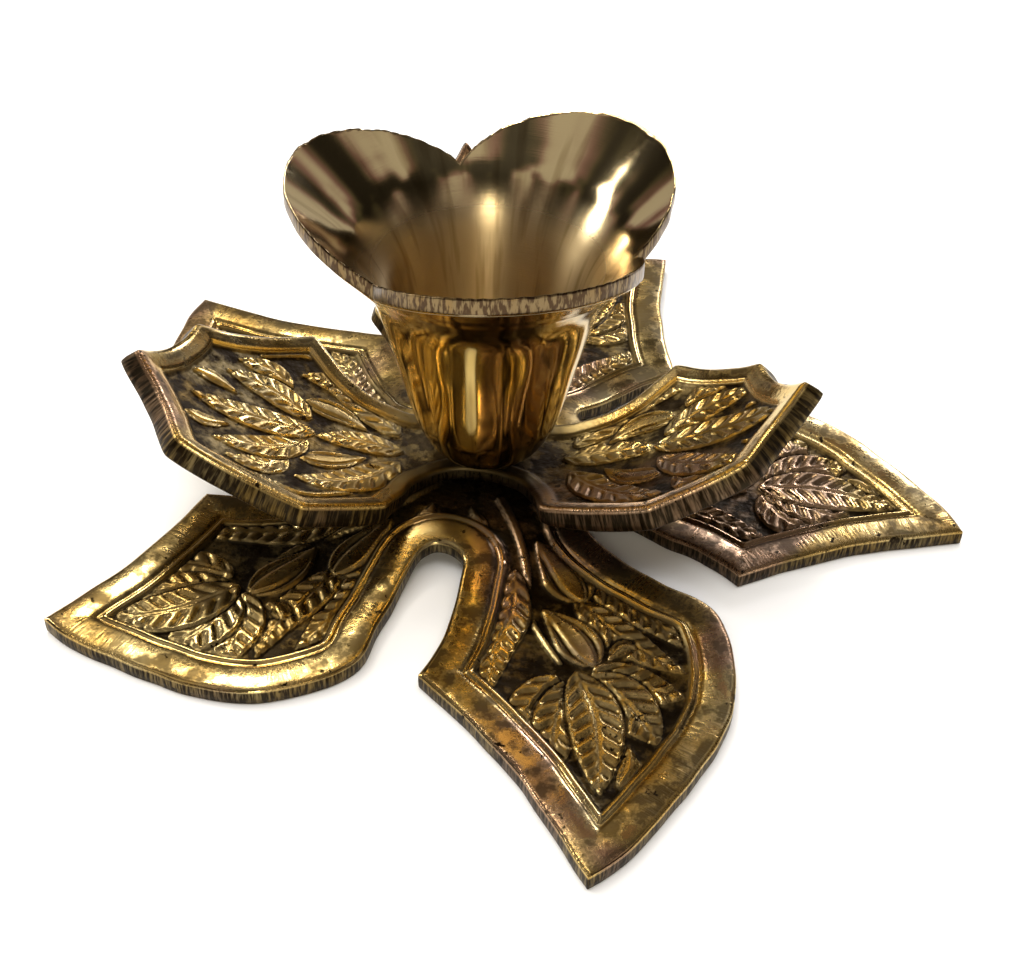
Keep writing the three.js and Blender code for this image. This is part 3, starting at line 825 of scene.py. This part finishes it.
outer_end = np.interp(rim_radius - 0.25, cup_outer[:, 0], cup_run)
for share in np.r_[np.linspace(0, 0.94, 96)[1:], np.linspace(0.945, 0.992, 12)]:
    run = outer_end * share
    facets = hammer(run) * math.sin(math.pi * min(1, share * 1.02)) ** 0.5
    add_ring(np.interp(run, cup_run, cup_outer[:, 0]) + facets,
             np.interp(run, cup_run, cup_outer[:, 1]), -run - 1)

rim_under = np.interp(rim_radius, cup_outer[:, 0], cup_outer[:, 1])
rim_over = np.interp(rim_radius, cup_inner[:, 0], cup_inner[:, 1])
chips = 0.06 * np.sin(around * 97 + 3 * np.sin(around * 11))
for radius_in, share, lift in [(0.06, 0.06, 0), (0, 0.14, 0), (0, 0.5, 0), (0.02, 0.84, 0),
                               (0.12, 0.97, 0.02)]:
    height = rim_under * (1 - share) + rim_over * share + lift + chips * (share > 0.8)
    add_ring(rim_radius - radius_in, height, rim_mark + share * 3)

well = int(np.argmax(cup_inner[:, 1] > floor_z + corner_radius))
well_radius = cup_inner[well, 0]
inner_start = cup_run[well]
inner_end = np.interp(rim_radius - 0.3, cup_inner[:, 0], cup_run)
for share in np.r_[1 - np.linspace(0, 0.06, 9), np.linspace(0.93, 0, 84)]:
    run = inner_start + (inner_end - inner_start) * share
    add_ring(np.interp(run, cup_run, cup_inner[:, 0]), np.interp(run, cup_run, cup_inner[:, 1]), run)
for share in np.linspace(0, 1, 10)[1:]:
    angle = share * math.pi / 2
    add_ring(well_radius - corner_radius * (1 - math.cos(angle)),
             floor_z + corner_radius * (1 - math.sin(angle)), inner_start - 2.5 * share)
floor_edge = well_radius - 1.8
for radius in np.linspace(floor_edge, 0.4, 14):
    add_ring(radius, floor_z, inner_start - 2.5 - 0.8 * (floor_edge - radius))
cup = closed_rings("oil_cup_turned", cup_rings, turning)


def turned_brass(name):
    """Yellow brass off the lathe: mirror-bright where buffed, fine rings where the tool ran,
    and dark upright streaks painted on as reflections. The rings are drawn 0.15 mm apart so that they
    show."""
    material, tree, shader, here = new_metal(name)
    turning = add_node(tree, "ShaderNodeAttribute", {}, attribute_name="turning").outputs["Vector"]
    run = add_node(tree, "ShaderNodeSeparateXYZ", {"Vector": turning}).outputs["Z"]
    past_floor = add_node(tree, "ShaderNodeMapRange", {"Value": run, "From Min": -0.5, "From Max": 0.5})
    short_of_rim = add_node(tree, "ShaderNodeMapRange", {"Value": run, "From Min": 190, "From Max": 180})
    inside = add_node(tree, "ShaderNodeMath", {0: past_floor, 1: short_of_rim}, operation="MULTIPLY")
    rim = add_node(tree, "ShaderNodeMapRange", {"Value": run, "From Min": 190, "From Max": 195})
    below_lobes = add_node(tree, "ShaderNodeMapRange", {"Value": run, "From Min": 41, "From Max": 33})
    satin = add_node(tree, "ShaderNodeMath", {0: inside, 1: below_lobes}, operation="MULTIPLY")

    # The tool's rings and the file's strokes on the rim are one noise each, drawn out in the
    # direction that the tool went. The upright streaks, painted on as dark reflections, are one more
    # noise drawn out upright.
    ring_place = add_node(tree, "ShaderNodeVectorMath", {0: turning, 1: (2.5, 2.5, 6.5)},
                          operation="MULTIPLY")
    rings = add_node(tree, "ShaderNodeTexNoise", {
        "Vector": ring_place, "Scale": 1, "Detail": 3, "Roughness": 0.65})
    streak_place = add_node(tree, "ShaderNodeVectorMath", {0: turning, 1: (9, 9, 0.06)},
                            operation="MULTIPLY")
    streaks = add_node(tree, "ShaderNodeTexNoise", {"Vector": streak_place, "Scale": 1, "Detail": 2})
    stroke_place = add_node(tree, "ShaderNodeVectorMath", {0: turning, 1: (55, 55, 0.4)},
                            operation="MULTIPLY")
    strokes = add_node(tree, "ShaderNodeTexNoise", {
        "Vector": stroke_place, "Scale": 1, "Detail": 2.5, "Roughness": 0.6})

    smears = add_node(tree, "ShaderNodeTexNoise", {"Vector": here, "Scale": 130, "Detail": 3})
    colour = add_node(tree, "ShaderNodeMixRGB", {
        "Fac": smears, "Color1": hex_colour("D0B060"), "Color2": hex_colour("DABF7C")})
    # Painted reflection: dark upright streaks darken the colour by up to half.
    painted_streak_reflections = add_node(tree, "ShaderNodeMapRange", {
        "Value": streaks, "From Min": 0.52, "From Max": 0.7, "To Max": 0.5})
    dark_strokes = add_node(tree, "ShaderNodeMapRange", {
        "Value": strokes, "From Min": 0.44, "From Max": 0.54})
    rim_strokes = add_node(tree, "ShaderNodeMath", {0: rim, 1: dark_strokes}, operation="MULTIPLY")
    # The rim's dark grey-brown is painted shade over the ground brass.
    for share, over in ((inside, "D5C096"), (rim, "7C6A4C"), (painted_streak_reflections, "86683A"),
                        (rim_strokes, "4A3A2A")):
        colour = add_node(tree, "ShaderNodeMixRGB", {
            "Fac": share, "Color1": colour, "Color2": hex_colour(over)})
    tree.links.new(colour.outputs["Color"], shader.inputs["Base Color"])

    # Rings stretch each highlight upright, across themselves.
    roughness = add_node(tree, "ShaderNodeMapRange", {"Value": satin, "To Min": 0.09, "To Max": 0.42})
    roughness = add_node(tree, "ShaderNodeMath", {0: rim, 1: 0.2, 2: roughness},
                         operation="MULTIPLY_ADD")
    tree.links.new(roughness.outputs["Value"], shader.inputs["Roughness"])
    around_axis = add_node(tree, "ShaderNodeTangent", {}, direction_type="RADIAL", axis="Z")
    tree.links.new(around_axis.outputs["Tangent"], shader.inputs["Tangent"])
    stretch = add_node(tree, "ShaderNodeMath", {0: satin, 1: 0.85}, operation="MULTIPLY")
    tree.links.new(stretch.outputs["Value"], shader.inputs["Anisotropic"])
    shader.inputs["Anisotropic Rotation"].default_value = 0.25
    ring_depth = add_node(tree, "ShaderNodeMapRange", {"Value": satin, "To Min": 0.12})
    relief_height = add_node(tree, "ShaderNodeMath", {0: rings, 1: ring_depth}, operation="MULTIPLY")
    stroke_depth = add_node(tree, "ShaderNodeMath", {0: rim, 1: 3}, operation="MULTIPLY")
    relief_height = add_node(tree, "ShaderNodeMath", {0: strokes, 1: stroke_depth, 2: relief_height},
                             operation="MULTIPLY_ADD")
    bump = add_node(tree, "ShaderNodeBump", {
        "Height": relief_height, "Strength": 0.6, "Distance": 0.05 * MM})
    tree.links.new(bump.outputs["Normal"], shader.inputs["Normal"])
    return material


cup.data.materials.append(turned_brass("lathe_turned_brass"))
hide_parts("oil_cup")
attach(cup, "cup")


# ---- Stud, nut and washers ----
# The stud is cut from threaded brass bar and screws up into the cup's thick floor. The nut and
# split spring washer pull the plates together from below; a thin washer seats the cup.

def bar_metal(name, light, dark, grain):
    """Drawn bar stock: even, slightly dull metal with a fine mottled grain."""
    material, tree, shader, here = new_metal(name)
    noise = add_node(tree, "ShaderNodeTexNoise", {"Vector": here, "Scale": grain, "Detail": 4})
    ramp = add_node(tree, "ShaderNodeValToRGB", {"Fac": noise})
    set_ramp(ramp, [(0.35, dark), (0.62, light)])
    tree.links.new(ramp.outputs["Color"], shader.inputs["Base Color"])
    roughness = add_node(tree, "ShaderNodeMapRange", {"Value": noise, "To Min": 0.45, "To Max": 0.28})
    tree.links.new(roughness.outputs["Result"], shader.inputs["Roughness"])
    bump = add_node(tree, "ShaderNodeBump", {"Height": noise, "Strength": 0.4, "Distance": 0.05 * MM})
    tree.links.new(bump.outputs["Normal"], shader.inputs["Normal"])
    return material


bar_brass = bar_metal("drawn_bar_brass", "C6A050", "6E5226", 700)
spring_bronze = bar_metal("spring_bronze", "A9803F", "4C3820", 500)
stud_radius, thread_pitch, thread_depth, stud_end = 2.5, 0.8, 0.32, 1.9
stud_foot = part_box("centre_stud")[0].z / MM


def round_rings(angles, section):
    """Rings from a section of (radius, height); a radius may be one number or one per angle."""
    return [np.column_stack([radius * np.cos(angles), radius * np.sin(angles), height + 0 * angles])
            for radius, height in section]


angles = np.linspace(0, 2 * math.pi, 64, endpoint=False)
thread = [(stud_end, stud_foot)]
for height in np.arange(stud_foot + 0.1, stud_top - 0.05, 0.1):
    turn = (height / thread_pitch - angles / (2 * math.pi)) % 1
    crest = stud_radius - thread_depth * np.abs(2 * turn - 1)
    thread.append((np.minimum(crest, stud_end + min(height - stud_foot, stud_top - height)), height))
thread.append((stud_end, stud_top))
stud = closed_rings("centre_stud_threaded", round_rings(angles, thread))

nut_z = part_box("hex_nut")[0].z / MM
nut_half, chamfer = 4.0, 4.25
angles = np.linspace(0, 2 * math.pi, 144, endpoint=False)
hexagon = nut_half / np.cos(angles % (math.pi / 3) - math.pi / 6)
nut_section = [(stud_hole, 0.2), (3.0, 0), (3.8, 0), (chamfer, 0.15), (chamfer + 0.5, 0.4),
               (chamfer + 0.5, 1.6), (chamfer, 1.85), (3.8, 2.0), (3.0, 2.0), (stud_hole, 1.8)]
nut = closed_rings("hex_nut_chamfered", round_rings(angles, [
    (np.minimum(hexagon, radius), nut_z + rise) for radius, rise in nut_section]), capped=False)

washer_z, washer_top = (corner.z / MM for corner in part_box("spring_washer"))
washer_thickness = washer_top - washer_z
washer_radius, washer_ease, sprung_apart = 4.6, 0.08, 0.24
seat_radius, seat_hole_ease, seat_rim_ease = 5.2, 0.06, 0.1
slit, slit_turn = math.radians(12), math.radians(40)


def eased_section(inner, outer, thickness, hole_ease, rim_ease):
    """A washer's section as (radius, height), its four corners eased."""
    return [(inner, hole_ease), (inner + hole_ease, 0), (outer - rim_ease, 0), (outer, rim_ease),
            (outer, thickness - rim_ease), (outer - rim_ease, thickness),
            (inner + hole_ease, thickness), (inner, thickness - hole_ease)]


def split_washer():
    """A flat coil of square wire, cut through, with its two ends sprung a little apart."""
    sweep = np.linspace(slit / 2, 2 * math.pi - slit / 2, 120) + slit_turn
    spring = np.linspace(-sprung_apart / 2, sprung_apart / 2, len(sweep))
    wire = eased_section(stud_hole, washer_radius, washer_thickness, washer_ease, washer_ease)
    points = [(radius * math.cos(angle), radius * math.sin(angle), washer_z + rise + lift)
              for angle, lift in zip(sweep, spring) for radius, rise in wire]
    sides = len(wire)
    faces = [(k * sides + i, k * sides + (i + 1) % sides,
              (k + 1) * sides + (i + 1) % sides, (k + 1) * sides + i)
             for k in range(len(sweep) - 1) for i in range(sides)]
    faces += [tuple(range(sides))[::-1], tuple((len(sweep) - 1) * sides + i for i in range(sides))]
    mesh = bpy.data.meshes.new("spring_washer_split")
    mesh.from_pydata((np.array(points) * MM).tolist(), [], [face[::-1] for face in faces])
    washer = bpy.data.objects.new("spring_washer_split", mesh)
    bpy.context.collection.objects.link(washer)
    return washer


seat_z, seat_top = (corner.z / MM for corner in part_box("seat_washer"))
angles = np.linspace(0, 2 * math.pi, 96, endpoint=False)
seat_section = eased_section(stud_hole, seat_radius, seat_top - seat_z, seat_hole_ease, seat_rim_ease)
seat = closed_rings("seat_washer_pressed", round_rings(angles, [
    (radius, seat_z + rise) for radius, rise in seat_section]), capped=False)

for piece, metal, node, body, slot in [
        (stud, bar_brass, "centre_stud", "base", "bar_brass"),
        (nut, bar_brass, "hex_nut", "base", "bar_brass"),
        (split_washer(), spring_bronze, "spring_washer", "base", "spring_bronze"),
        (seat, bar_brass, "seat_washer", "seat", "bar_brass")]:
    piece.data.materials.append(metal)
    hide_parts(node)
    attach(piece, body)
